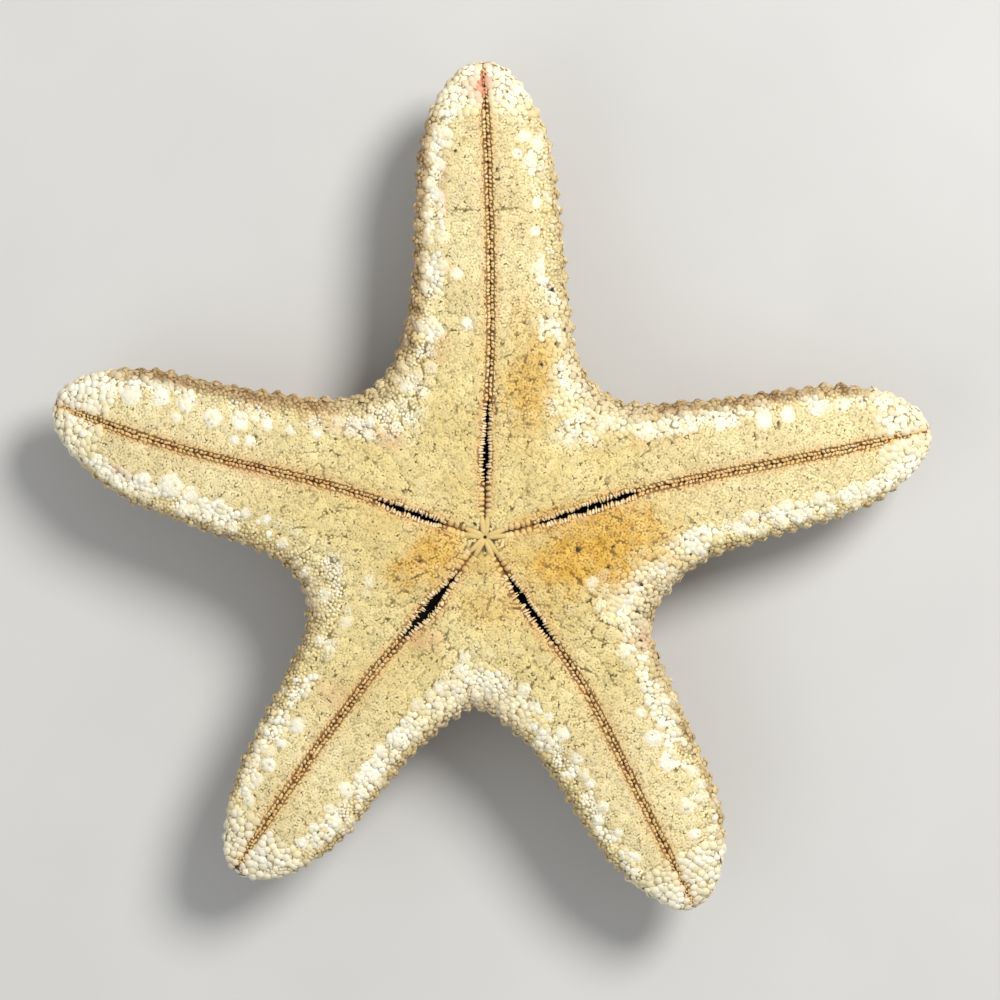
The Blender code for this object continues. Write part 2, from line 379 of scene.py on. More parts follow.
def lift_skin(points, fields, patches, plates):
    """How far each point of the skin stands out from the smooth body."""
    lift = np.zeros(len(points))
    for patch in patches:
        half, index = patch.half, patch.grid.ravel()
        u, across = patch.u.ravel(), patch.across.ravel()
        near_tip = half.closing(half.axis(u))
        own = bead_lift(half, u, across, patch.back)
        own += 0.4 * (rough(points[index], 6.0) - 0.5)
        if patch.back:
            column = np.interp(across, (0, 0.38, 0.72, 0.93, 1), (4, 3, 2, 1, 0.5))
            net = np.cos(2 * math.pi * BEADS * u) * np.cos(math.pi * column)
            own += NET_LIFT * net * smooth(across, 1.0, 0.85)
        else:
            own -= FURROW_DEPTH * np.exp(-((fields[index, D] / FURROW_REACH) ** 2))
            own -= SLIT_DEPTH * in_slit(patch).ravel()
        lift[index] = own * near_tip
    plate, out, _ = plates.look_up(points)
    dome = np.sqrt(np.clip(1 - out * out, 0, 1))
    clear = np.where(fields[:, BACK] > 0.5, 1.0, smooth(fields[:, D], 1.2, 3.0))
    return lift + plates.height[plate] * dome * clear


def tree_of(points):
    tree = KDTree(len(points))
    for index, point in enumerate(points):
        tree.insert(point, index)
    tree.balance()
    return tree


class Plates:
    """Rounded plates under the skin that press against each other at thin joints."""

    def __init__(self, at, radius, height, white):
        self.at, self.radius, self.height, self.white = at, radius, height, white
        self.tone = random.random(len(at))
        self.tree = tree_of(at)

    def look_up(self, points, near=6):
        """For each point its plate, how far out in it, and the distance to its joint."""
        which = np.empty((len(points), near), int)
        away = np.empty((len(points), near))
        for row, point in enumerate(points):
            for column, (_, index, distance) in enumerate(self.tree.find_n(point, near)):
                which[row, column] = index
                away[row, column] = distance
        share = away / self.radius[which]
        order = np.argsort(share, 1)[:, :2]
        first, second = np.take_along_axis(which, order, 1).T
        inner, outer = np.take_along_axis(share, order, 1).T
        a, b = self.radius[first], self.radius[second]
        return first, inner, (outer - inner) * a * b / (a + b)


# Places in the photograph: what stands out as chalky bosses, with their radius, all in pixels
BOSSES_PX = (
    (172, 485, 12), (145, 481, 8), (193, 494, 8), (220, 505, 7), (158, 491, 5),
    (108, 393, 9), (132, 395, 9), (161, 398, 9), (187, 404, 8), (214, 418, 10),
    (240, 420, 9), (236, 441, 5), (252, 441, 5), (177, 418, 5), (95, 462, 7),
    (762, 420, 8), (786, 414, 8), (815, 410, 7), (840, 405, 8), (862, 401, 6),
    (738, 528, 8), (796, 517, 7), (808, 514, 6), (775, 521, 5), (830, 508, 6),
    (622, 430, 5), (648, 428, 5),
    (447, 116, 9), (445, 139, 10), (440, 166, 6), (437, 195, 7), (524, 138, 7),
    (529, 163, 7), (519, 154, 5), (458, 275, 6), (466, 325, 6), (536, 205, 5),
    (298, 724, 8), (269, 763, 7), (257, 780, 7), (283, 742, 5), (348, 788, 7),
    (302, 841, 6), (365, 768, 5), (250, 800, 6), (330, 806, 5),
    (651, 737, 8), (666, 761, 9), (686, 806, 8), (700, 859, 6), (563, 733, 7),
    (577, 756, 6), (694, 832, 6), (640, 712, 5), (452, 705, 5), (500, 708, 5),
    (478, 700, 5), (640, 622, 5), (628, 600, 5), (320, 640, 5),
    (660, 567, 6), (690, 548, 6), (637, 587, 4), (643, 657, 5), (632, 647, 4), (618, 613, 4),
    (716, 640, 4), (672, 690, 6), (684, 716, 6), (697, 742, 6), (706, 772, 7), (714, 800, 6),
    (712, 828, 6), (548, 716, 5), (590, 782, 5), (603, 806, 6), (618, 832, 5), (636, 856, 5),
    (286, 690, 5), (276, 706, 5), (246, 790, 6), (238, 812, 6), (380, 748, 6), (396, 734, 5),
    (410, 722, 5), (315, 826, 5), (430, 230, 5), (426, 258, 6), (424, 288, 5), (534, 232, 5),
    (541, 258, 4), (544, 284, 4), (268, 424, 6), (292, 432, 5), (318, 434, 5), (246, 512, 5),
    (268, 520, 5), (846, 498, 6), (868, 488, 6), (690, 428, 5), (718, 426, 6), (880, 408, 5),
    (488, 689, 5), (464, 697, 4), (512, 704, 4), (429, 707, 5), (534, 724, 5),
)
# Ochre stains: centre, half-length, half-width, turn in degrees, strength
STAINS_PX = (
    (592, 554, 94, 46, 18, 1.0),
    (560, 520, 50, 18, 12, 0.7),
    (529, 385, 70, 32, 80, 0.7),
    (520, 330, 40, 12, 88, 0.45),
    (430, 556, 48, 28, 40, 0.9),
    (486, 605, 40, 26, 0, 0.45),
    (500, 560, 60, 30, 0, 0.4),
    (625, 745, 55, 14, -60, 0.12),
    (300, 470, 60, 14, -14, 0.2),
)
# Pink stains, in the same way
PINK_PX = (
    (483, 90, 7, 22, 0, 0.7),
    (480, 88, 18, 14, 0, 0.25),
    (640, 445, 12, 7, 0, 0.15),
    (430, 640, 20, 14, 0, 0.25),
    (390, 440, 18, 14, 0, 0.25),
    (640, 640, 16, 12, 0, 0.15),
    (262, 404, 22, 8, -12, 0.12),
    (330, 420, 30, 12, -14, 0.15),
    (120, 470, 16, 7, -20, 0.22),
    (252, 470, 25, 12, 0, 0.14),
    (443, 200, 40, 6, 90, 0.18),
    (330, 690, 20, 16, 0, 0.14),
    (440, 350, 26, 12, 70, 0.16),
    (668, 440, 30, 10, 10, 0.12),
    (700, 480, 30, 12, 10, 0.1),
)
# The largest dark pits, with their radius in pixels
PITS_PX = (
    (577, 550, 3.2), (612, 545, 2.0), (608, 565, 2.0), (640, 585, 2.8), (420, 560, 2.2),
    (553, 290, 2.4), (561, 305, 2.2), (548, 318, 2.0), (566, 330, 2.4), (556, 345, 2.2),
    (540, 366, 2.2), (558, 372, 2.4), (530, 380, 1.8), (570, 300, 1.8), (636, 612, 2.6),
    (476, 526, 1.3), (492, 526, 1.3), (473, 541, 1.3), (498, 541, 1.3), (485, 550, 1.3),
    (641, 640, 2.2), (689, 553, 2.2), (708, 551, 2.0), (497, 170, 1.8), (455, 152, 2.0),
)
# Fine creases, from end to end
CREASES_PX = (
    (493, 212, 516, 209), (446, 211, 480, 212), (492, 182, 513, 179), (448, 314, 479, 315),
    (514, 313, 536, 316), (656, 518, 681, 552), (686, 514, 702, 542), (644, 543, 655, 555),
    (302, 533, 312, 521), (341, 505, 336, 514), (355, 507, 348, 515), (778, 423, 778, 438),
    (753, 434, 755, 447), (254, 435, 261, 440), (607, 670, 614, 684),
)


def to_photo(points):
    """The pixels that show the points."""
    return (
        MOUTH_PX[0] + (points[:, 0] - MOUTH[0]) / PIXEL,
        MOUTH_PX[1] - (points[:, 1] - MOUTH[1]) / PIXEL,
    )


def stains(points, spots):
    """How strongly each point lies in soft-edged oval spots, from 0 to 1."""
    x, y = to_photo(points)
    wobble = 0.6 * (rough(points, 6.0) - 0.5) + 0.35 * (noise(points, 1.4) - 0.5)
    total = np.zeros(len(points))
    for cx, cy, length, width, turn, strength in spots:
        t = math.radians(turn)
        along = ((x - cx) * math.cos(t) - (y - cy) * math.sin(t)) / length
        over = ((x - cx) * math.sin(t) + (y - cy) * math.cos(t)) / width
        inside = smooth(np.hypot(along, over) + wobble, 1.25, 0.35)
        total = np.maximum(total, strength * inside)
    return total


def crease_distance(points):
    """How many millimetres each point is from the nearest crease."""
    places = np.stack(to_photo(points), -1)
    wobble = 0.5 * (noise(points, 2.0) - 0.5)
    nearest = np.full(len(points), np.inf)
    for ax, ay, bx, by in CREASES_PX:
        start, way = np.array((ax, ay)), np.array((bx - ax, by - ay))
        share = np.clip((places - start) @ way / (way @ way), 0, 1)
        away = places - start - share[:, None] * way
        nearest = np.minimum(nearest, np.hypot(*away.T) * PIXEL)
    return np.abs(nearest + wobble * (nearest < 3))


def notch_white(arm, side):
    """How white the notch is that each point of the skin runs to."""
    return NOTCH_WHITES[(arm - (side < 0)).astype(int) % len(ARMS)]


def cobbled(points, fields):
    """Where the patches of white cobbles are in the bands along the arms' edges."""
    u, across, back, arm, side = fields[:, U:].T
    most = BAND_WHITES[arm.astype(int), (side > 0).astype(int)]
    level = 0.66 - 0.24 * most
    band = smooth(across, 0.6, 0.68) * smooth(across, 0.94, 0.87) * smooth(u, 0.15, 0.25)
    return band * smooth(rough(points, 5.0), level, level + 0.06) * (back < 0.5)


def paint(points, fields, plates):
    """The masks that the material mixes its colours by."""
    s, d, u, across, back, arm, side = fields.T
    plate, out, joint = plates.look_up(points)
    reach = reach_of(arm)
    mouth_side = 1 - back
    to_tip = smooth(s, reach - 17, reach - 7)
    patchy = smooth(rough(points, 4.5), 0.42, 0.66)
    # The tan band, partly painted shade on the left arm's upper edge.
    tan = np.array(TAN_AND_SHADE_BANDS)[arm.astype(int), (side > 0).astype(int)]
    tan = 0.6 + (tan - 0.6) * smooth(u, 0.05, 0.25)
    inner = smooth(across, 0.97 - 0.1 * tan, 0.9 - 0.1 * tan)
    rim = smooth(across, 0.58, 0.76) * (0.35 + 0.65 * inner) * patchy * 0.85
    notch = smooth(u, 0.3, 0.05) * smooth(across, 0.68, 0.82) * smooth(across, 1.02, 0.95)
    notch *= notch_white(arm, side)
    white = np.maximum(rim, notch * (0.6 + 0.4 * patchy))
    white = np.maximum(white, 0.9 * cobbled(points, fields))
    white = np.maximum(white, to_tip * (0.65 + 0.3 * patchy)) * mouth_side
    white = np.maximum(white, back * 0.3 * patchy)
    ragged = out + 0.5 * (noise(points, 0.9) - 0.5)
    bare = plates.white[plate] * smooth(ragged, 1.25, 0.85) * mouth_side
    white = np.maximum(white, plates.white[plate] * smooth(ragged, 1.3, 0.85))
    white = np.maximum(white, 0.25 * smooth(s, 30, 65) * mouth_side)
    outer = smooth(across, 0.95 - 0.17 * tan, 1.02 - 0.1 * tan) * tan * (1 - 0.8 * to_tip)
    white *= 1 - 0.8 * outer * mouth_side
    brown = mouth_side * outer
    brown = np.maximum(brown, back * (0.45 + 0.5 * smooth(across, 0.3, 0.9)))
    beside = d - slit_beside(arm, s)
    halo = 0.9 * np.exp(-((beside / 1.25) ** 2)) + 0.25 * np.exp(-((beside / 2.6) ** 2))
    halo *= mouth_side * smooth(s, 3.0, 7.0) * (0.6 + 0.8 * noise(points, 1.6))
    wide = 1 + 1.2 * (bare > 0.5)
    shown = (0.35 + 0.65 * smooth(rough(points, 7.0), 0.4, 0.6)) * smooth(s, 75, 35)
    return {
        "white": np.clip(white, 0, 1),
        "brown": np.clip(brown * (0.55 + 0.9 * rough(points, 3.0)), 0, 1),
        "furrow": np.clip(halo, 0, 1),
        "ochre": stains(points, STAINS_PX) * mouth_side,
        "pink": stains(points, PINK_PX) * mouth_side,
        "joint": np.maximum(
            smooth(joint, 0.24 * wide, 0.06 * wide) * shown,
            0.85 * smooth(crease_distance(points), 0.26, 0.1),
        ) * mouth_side,
        "bare": bare,
        "tone": 0.1 * (plates.tone[plate] - 0.5),
    }


def add(name, data):
    thing = bpy.data.objects.new(name, data)
    bpy.context.scene.collection.objects.link(thing)
    return thing


def new_piece(name, points, triangles, values, places, material):
    """A piece of the starfish that rides on the part's only body."""
    mesh = bpy.data.meshes.new(name)
    mesh.vertices.add(len(points))
    mesh.vertices.foreach_set("co", (points * MM).astype(np.float32).ravel())
    mesh.loops.add(triangles.size)
    mesh.loops.foreach_set("vertex_index", triangles.astype(np.int32).ravel())
    mesh.polygons.add(len(triangles))
    starts = np.arange(len(triangles), dtype=np.int32) * 3
    mesh.polygons.foreach_set("loop_start", starts)
    mesh.polygons.foreach_set("use_smooth", np.ones(len(triangles), bool))
    for key, value in values.items():
        layer = mesh.attributes.new(key, "FLOAT", "POINT")
        layer.data.foreach_set("value", value.astype(np.float32))
    layer = mesh.uv_layers.new(name="OFBake")
    layer.uv.foreach_set("vector", places.astype(np.float32).ravel())
    mesh.update(calc_edges=True)
    mesh.materials.append(material)
    piece = add(name, mesh)
    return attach(piece, "root")


def cells(count):
    """The lower corners and the size of equal square cells that fill a unit square."""
    wide = math.ceil(math.sqrt(count))
    which = np.arange(count)
    return np.stack((which % wide, which // wide), -1) / wide, 1 / wide


MASKS = ("white", "brown", "furrow", "ochre", "pink", "joint", "tone", "pit", "dark")


def masks(count, **given):
    """The masks of count forms, 0 but for the given ones."""
    return {key: given.get(key, 0.0) + np.zeros(count) for key in MASKS}


def copies(name, points, triangles, spots, values, material):
    """One mesh of many like forms, with values for each form, for each of its points or both."""
    count, size = points.shape[:2]
    corner, wide = cells(count)
    every = np.zeros((count, size))
    values = {
        key: (every + (value[:, None] if value.shape == (count,) else value)).ravel()
        for key, value in values.items()
    }
    faces = triangles + (size * np.arange(count))[:, None, None]
    spots = corner[:, None, None] + wide * spots
    return new_piece(
        name, points.reshape(-1, 3), faces.reshape(-1, 3), values, spots, material
    )


Grains = namedtuple("Grains", "at normal radius height values")


def domes(name, grains, sides, rings, material):
    """One mesh of many low domes. rings are radius and height, from the base up."""
    count = len(grains.at)
    angles = 2 * math.pi * np.arange(sides) / sides
    flat = [np.stack((r * np.cos(angles), r * np.sin(angles)), -1) for r, _ in rings]
    flat = np.concatenate(flat + [np.zeros((1, 2))])
    heights = np.concatenate([np.full(sides, h) for _, h in rings] + [np.ones(1)])
    grid = np.arange(len(rings) * sides).reshape(-1, sides)
    triangles = tube(np.concatenate((grid, np.full((1, sides), grid.size))))[0][:, ::-1]

    turn = random.random(count) * 2 * math.pi
    helper = np.where(np.abs(grains.normal[:, :1]) < 0.8, (1.0, 0, 0), (0, 1.0, 0))
    first = np.cross(grains.normal, helper)
    first /= np.linalg.norm(first, axis=1)[:, None]
    second = np.cross(grains.normal, first)
    east = first * np.cos(turn)[:, None] + second * np.sin(turn)[:, None]
    north = np.cross(grains.normal, east)
    stretch = 1 + 0.16 * (random.random((count, 2)) - 0.5)
    jitter = 1 + 0.2 * (random.random((count, len(flat))) - 0.5)
    x = flat[:, 0] * jitter * (grains.radius * stretch[:, 0])[:, None]
    y = flat[:, 1] * jitter * (grains.radius * stretch[:, 1])[:, None]
    z = heights * grains.height[:, None]
    points = (
        grains.at[:, None]
        + x[..., None] * east[:, None]
        + y[..., None] * north[:, None]
        + z[..., None] * grains.normal[:, None]
    )
    # The gap mask is painted shade, strongest at each dome's foot.
    foot_shade = smooth(heights, 0.95, 0.1) if len(rings) > 1 else smooth(heights, 0.75, -0.1)
    spots = (0.5 + 0.4 * flat / np.abs(flat).max())[triangles]
    return copies(name, points, triangles, spots, {**grains.values, "gap": foot_shade}, material)


# A lying cell from end to end: places along it and how wide it is there
CELL_RINGS = ((0.06, 0.55), (0.28, 1.0), (0.62, 0.95), (0.9, 0.6))
CELL_SIDES = 6
UP = np.array((0.0, 0.0, 1.0))


def lying_cells(name, start, end, width, depth, taper, values, material):
    """One mesh of many long low cells, which lie from start to end."""
    angles = 2 * math.pi * np.arange(CELL_SIDES) / CELL_SIDES
    along = end - start
    over = np.cross(UP, along)
    over /= np.linalg.norm(over, axis=1)[:, None]
    rings = []
    for share, girth in CELL_RINGS:
        girth = girth * (1 - taper * share)
        middle = start + along * share
        for angle in angles:
            rings.append(
                middle
                + over * (width * girth * math.cos(angle))[:, None]
                + UP * (depth * girth * math.sin(angle))[:, None]
            )
    points = np.stack(rings + [start, end], 1)
    grid = np.arange(len(rings)).reshape(-1, CELL_SIDES)
    ends = np.full((1, CELL_SIDES), grid.size)
    triangles, spots = tube(np.concatenate((ends, grid, ends + 1)))
    # gap is painted shade on each cell's lower sides, where its rust outline is raised too.
    high = np.concatenate((np.tile(np.sin(angles), len(CELL_RINGS)), (0.1, 0.1)))
    gap = smooth(high, 0.8, -0.1)
    rusty = np.maximum(values["furrow"][:, None], 0.75 * gap)
    return copies(
        name, points, triangles, 0.05 + 0.9 * spots,
        {**values, "furrow": rusty, "gap": gap}, material,
    )


def keep_apart(points, gap):
    """Goes through the points in order and keeps each that is gap from those kept."""
    taken, kept = {}, []
    near = [(i, j, k) for i in (-1, 0, 1) for j in (-1, 0, 1) for k in (-1, 0, 1)]
    least = gap * gap
    cell_of = np.floor(points / gap).astype(int).tolist()
    for index, (p, (a, b, c)) in enumerate(zip(points.tolist(), cell_of)):
        x, y, z = p
        free = True
        for i, j, k in near:
            for qx, qy, qz in taken.get((a + i, b + j, c + k), ()):
                if (qx - x) ** 2 + (qy - y) ** 2 + (qz - z) ** 2 < least:
                    free = False
                    break
            if not free:
                break
        if free:
            taken.setdefault((a, b, c), []).append(p)
            kept.append(index)
    return np.array(kept, int)


class Skin:
    """A skin from which even spots are drawn for the plates in it or the grains on it."""

    def __init__(self, points, triangles, fields):
        self.points, self.fields, self.triangles = points, fields, triangles
        self.normals = outward(points, triangles)
        a, b, c = (points[triangles[:, i]] for i in range(3))
        self.areas = np.linalg.norm(np.cross(b - a, c - a), axis=1) / 2
        self.middle_fields = fields[triangles].mean(1)
        self.front = np.nonzero(fields[:, BACK] < 0.5)[0]
        self.front_px = np.stack(to_photo(points[self.front]), -1)
        self.taken = []

    def at_photo(self, x, y):
        """The place on the mouth side that shows at a pixel."""
        return self.points[self.front[np.argmin(np.hypot(*(self.front_px - (x, y)).T))]]

    def spots(self, allowed, count):
        """Random places on the allowed triangles, spread evenly over their area."""
        ends = np.cumsum(self.areas * allowed)
        picked = np.searchsorted(ends, random.random(count) * ends[-1])
        picked = np.minimum(picked, len(ends) - 1)
        share = random.dirichlet((1, 1, 1), count)[..., None]
        corners = self.triangles[picked]
        at = (self.points[corners] * share).sum(1)
        normal = (self.normals[corners] * share).sum(1)
        normal /= np.linalg.norm(normal, axis=1)[:, None]
        fields = (self.fields[corners] * share).sum(1)
        fields[:, BACK:] = self.fields[corners[:, 0], BACK:]
        return at, normal, fields

    def clear_of_taken(self, points, radius):
        """True where something of that radius doesn't sink into what was placed before."""
        free = np.ones(len(points), bool)
        for tree, radii in self.taken:
            for index in np.nonzero(free)[0]:
                _, other, away = tree.find(points[index])
                if away < 0.9 * radii[other] + 0.7 * radius:
                    free[index] = False
        return free

    def take(self, points, radii):
        self.taken.append((tree_of(points), radii))

    def scatter(self, allowed, gap, tries=7):
        """Spots that lie about gap apart on the allowed part of the skin."""
        area = (self.areas * allowed).sum()
        at, normal, fields = self.spots(allowed, int(tries * area / gap**2))
        keep = keep_apart(at, gap)
        keep = keep[self.clear_of_taken(at[keep], gap / 2)]
        return at[keep], normal[keep], fields[keep]


def srgb(red, green, blue):
    """A colour as a picture shows it, from 0 to 255, as the shader's numbers."""
    share = [v / 255 for v in (red, green, blue)]
    return (*(v / 12.92 if v < 0.04045 else ((v + 0.055) / 1.055) ** 2.4 for v in share), 1)


class Nodes:
    """Short words for building a material's nodes."""

    def __init__(self, name):
        self.material = bpy.data.materials.new(name)
        self.material.use_nodes = True
        self.tree = self.material.node_tree
        self.shader = self.tree.nodes["Principled BSDF"]

    def new(self, kind, **inputs):
        node = self.tree.nodes.new(kind)
        for key, value in inputs.items():
            self.set(node.inputs[key.replace("_", " ")], value)
        return node

    def set(self, socket, value):
        if isinstance(value, bpy.types.NodeSocket):
            self.tree.links.new(value, socket)
        else:
            socket.default_value = value

    def attribute(self, name):
        node = self.tree.nodes.new("ShaderNodeAttribute")
        node.attribute_name = name
        return node.outputs["Fac"]

    def math(self, operation, a, b):
        node = self.tree.nodes.new("ShaderNodeMath")
        node.operation = operation
        self.set(node.inputs[0], a)
        self.set(node.inputs[1], b)
        return node.outputs[0]

    def mix(self, share, a, b):
        node = self.tree.nodes.new("ShaderNodeMix")
        node.data_type = "RGBA"
        self.set(node.inputs["Factor"], share)
        self.set(node.inputs[6], a)
        self.set(node.inputs[7], b)
        return node.outputs[2]

    def cover(self, colour, **layers):
        """Lays colours over another one, each as far as its mask says."""
        for mask, over in layers.items():
            colour = self.mix(self.attribute(mask), colour, over)
        return colour

    def noise(self, size, detail=3.0):
        """Noise with lumps about size millimetres across."""
        place = self.tree.nodes.new("ShaderNodeTexCoord").outputs["Object"]
        node = self.new("ShaderNodeTexNoise", Vector=place, Scale=1 / (size * MM))
        node.inputs["Detail"].default_value = detail
        return node.outputs["Fac"]

    def span(self, value, low, high, out_low=0.0, out_high=1.0):
        node = self.tree.nodes.new("ShaderNodeMapRange")
        for key, number in zip(
            ("Value", "From Min", "From Max", "To Min", "To Max"),
            (value, low, high, out_low, out_high),
        ):
            self.set(node.inputs[key], number)
        return node.outputs["Result"]


STRAW, DEEP_STRAW = srgb(229, 212, 153), srgb(219, 197, 131)
OCHRE, DEEP_OCHRE = srgb(226, 186, 88), srgb(208, 160, 64)
CHALK, GREY_CHALK = srgb(246, 241, 222), srgb(226, 218, 192)
TAN, DEEP_TAN = srgb(198, 166, 116), srgb(148, 116, 76)
RUST, DEEP_RUST = srgb(220, 168, 106), srgb(130, 80, 36)
ROSE = srgb(216, 118, 102)
# Painted shade: between the grains and at their foot, with darker specks, in the pits, and near
# black in the slits, the mouth and the furrow's line; then shaded copies of ochre, tan and chalk
# for it. JOINT is the dark of the joints.
GAP_SHADE, SPECK_SHADE, JOINT = srgb(198, 178, 120), srgb(104, 90, 56), srgb(98, 82, 48)
PIT_SHADE, SHADE_BLACK = srgb(62, 56, 42), srgb(12, 7, 5)
SHADED_OCHRE, SHADED_TAN, SHADED_CHALK = srgb(164, 118, 48), srgb(122, 96, 62), srgb(136, 120, 92)


def skin_material():
    """Dried skin: straw colour mixed by the masks, with painted shade between its grains, in its
    pits, its slits and its mouth.
    """
    n = Nodes("dried_skin")
    broad, fine, speck = n.noise(14.0), n.noise(2.2), n.noise(0.7, 2.0)
    colour = n.mix(n.span(broad, 0.35, 0.65), STRAW, DEEP_STRAW)
    ochre = n.mix(n.span(fine, 0.35, 0.65), OCHRE, DEEP_OCHRE)
    tan = n.mix(n.span(fine, 0.4, 0.62), TAN, DEEP_TAN)
    chalk = n.mix(n.span(fine, 0.5, 0.75), CHALK, GREY_CHALK)
    colour = n.cover(colour, ochre=ochre, brown=tan, white=chalk, furrow=RUST, pink=ROSE)
    tone = n.new("ShaderNodeHueSaturation", Color=colour)
    n.set(tone.inputs["Value"], n.math("ADD", n.attribute("tone"), 1.0))
    # Painted shade where the gap mask is high: shaded copies of the colours with darker specks;
    # along the furrow the deep rust is partly painted shade, partly the cells' rust outline.
    low = n.mix(n.span(n.noise(1.3, 1.0), 0.55, 0.66), GAP_SHADE, SPECK_SHADE)
    low = n.cover(low, furrow=DEEP_RUST, ochre=SHADED_OCHRE, brown=SHADED_TAN)
    low = n.mix(n.span(n.attribute("white"), 0.0, 1.0, 0.0, 0.5), low, SHADED_CHALK)
    colour = n.mix(n.span(n.attribute("gap"), 0.8, 1.0), tone.outputs["Color"], low)
    colour = n.mix(n.span(n.attribute("joint"), 0.0, 1.0, 0.0, 0.85), colour, JOINT)
    # Painted shade in and round the pits, and dark to black painted shade in the slits, the mouth
    # and the furrow's line.
    colour = n.cover(colour, pit=PIT_SHADE, dark=SHADE_BLACK)
    n.set(n.shader.inputs["Base Color"], colour)
    n.set(n.shader.inputs["Roughness"], n.span(fine, 0.3, 0.7, 0.72, 0.9))
    n.shader.inputs["Specular IOR Level"].default_value = 0.3
    bump = n.new("ShaderNodeBump", Strength=0.35, Distance=0.12 * MM, Height=speck)
    n.set(n.shader.inputs["Normal"], bump.outputs["Normal"])
    return n.material


def make_plates(skin):
    """Plates from the largest to the smallest, each kind where the photograph has it."""
    s, across, back, arm = skin.middle_fields[:, (S, ACROSS, BACK, ARM)].T
    front = back < 0.5
    tip = s > reach_of(arm) - TIP_PLATES
    at = np.array([skin.at_photo(x, y) for x, y, _ in BOSSES_PX])
    radius = np.array([r * PIXEL for _, _, r in BOSSES_PX])
    skin.take(at, radius)
    made = [(at, radius, 0.22 * radius, 0.6 + 0.4 * random.random(len(at)) ** 0.5)]
    # Where they are, how far apart, how high and how chalky at most
    for where, gap, height, chalky in (
        (tip & (front | (across > 0.6)), 1.45, 0.2, 0.8),
        (front & (across > 0.8), 2.5, 0.5, 0.9),
        (front & (across > 0.64), 2.5, 0.34, 0.8),
        (~front & (across > 0.6), 2.4, 0.45, 0.3),
        (front, 2.9, 0.24, 0.1),
        (~front, 3.0, 0.35, 0.15),
    ):
        at, _, _ = skin.scatter(where, gap)
        radius = gap * (0.56 + 0.1 * random.random(len(at)))
        skin.take(at, radius)
        patchy = 0.25 + 0.75 * smooth(rough(at, 8.0), 0.42, 0.6)
        white = chalky * patchy * random.random(len(at)) ** 0.7
        made.append((at, radius, np.full(len(at), height), white))
    return Plates(*(np.concatenate(values) for values in zip(*made)))


PIT_GAP = 2.6
PIT_SIDES = 7
PIT_FLOOR = 0.08  # its height


class Pits:
    """Small hollows with painted shade in them: those that stand out in the photograph and many
    small ones.
    """

    def __init__(self, skin):
        small, normal, fields = skin.scatter(skin.middle_fields[:, BACK] < 0.5, PIT_GAP)
        inner = (fields[:, ACROSS] < 0.93) & (fields[:, D] > 2.5)
        inner &= random.random(len(small)) < 0.75
        named = [skin.at_photo(x, y) for x, y, _ in PITS_PX]
        self.at = np.concatenate((small[inner], named))
        self.normal = np.concatenate((normal[inner], np.tile(UP, (len(named), 1))))
        radii = 0.24 + 0.16 * random.random(inner.sum()) ** 2
        self.radii = np.concatenate((radii, [0.9 * r * PIXEL for _, _, r in PITS_PX]))
        strong = 0.3 + 0.6 * random.random(inner.sum()) ** 2
        self.strength = np.concatenate((strong, np.ones(len(named))))
        self.tree = tree_of(self.at)

    def make_floors(self, material):
        """A floor of painted shade in each pit, lower than the grains round it."""
        height = np.full(len(self.at), PIT_FLOOR)
        values = masks(len(self.at), pit=self.strength)
        floors = Grains(self.at, self.normal, self.radii, height, values)
        domes("pit_floors", floors, PIT_SIDES, ((1.0, -0.6),), material)

    def dark(self, points, fields):
        """How much painted shade the skin gets for lying in or beside a pit, from 0 to 1."""
        dark = np.zeros(len(points))
        for index, point in enumerate(points):
            _, other, away = self.tree.find(point)
            radius = self.radii[other]
            if away < 2.5 * radius:
                near = math.exp(-((away / radius) ** 2))
                dark[index] = near * self.strength[other]
        return dark * (fields[:, BACK] < 0.5)


# Rings of a dome from its base up, as radius and height
LOW = ((1.15, -0.3),)
TIP_LOW = ((1.3, -0.3),)
ROUND = ((1.1, -0.25), (0.66, 0.68))
RIM_ROUND = ((1.1, -0.25), (0.68, 0.62))
COBBLE = ((1.3, -0.3), (0.95, 0.45), (0.5, 0.88))

# Kinds of grain: how far apart, how high for their radius, how unlike in tone, number of sides,
# rings, and their radius as a share of the gap
GRAIN_KINDS = {
    "tip": (1.3, 0.45, 0.12, 8, COBBLE, 0.65),
    "tip_fill": (0.6, 0.5, 0.12, 6, TIP_LOW, 0.65),
    "side": (1.05, 0.42, 0.18, 6, ROUND, 0.65),
    "notch": (1.02, 0.42, 0.1, 8, COBBLE, 0.65),
    "rim": (0.72, 0.5, 0.16, 6, RIM_ROUND, 0.65),
    "back": (0.92, 0.7, 0.2, 6, LOW, 0.65),
    "fine": (0.48, 0.5, 0.14, 6, LOW, 0.84),
    "knob": (0.9, 0.7, 0.2, 6, LOW, 0.65),
}
FINE_TRIES, TRIES = 13, 8  # how many places are tried for each that fits


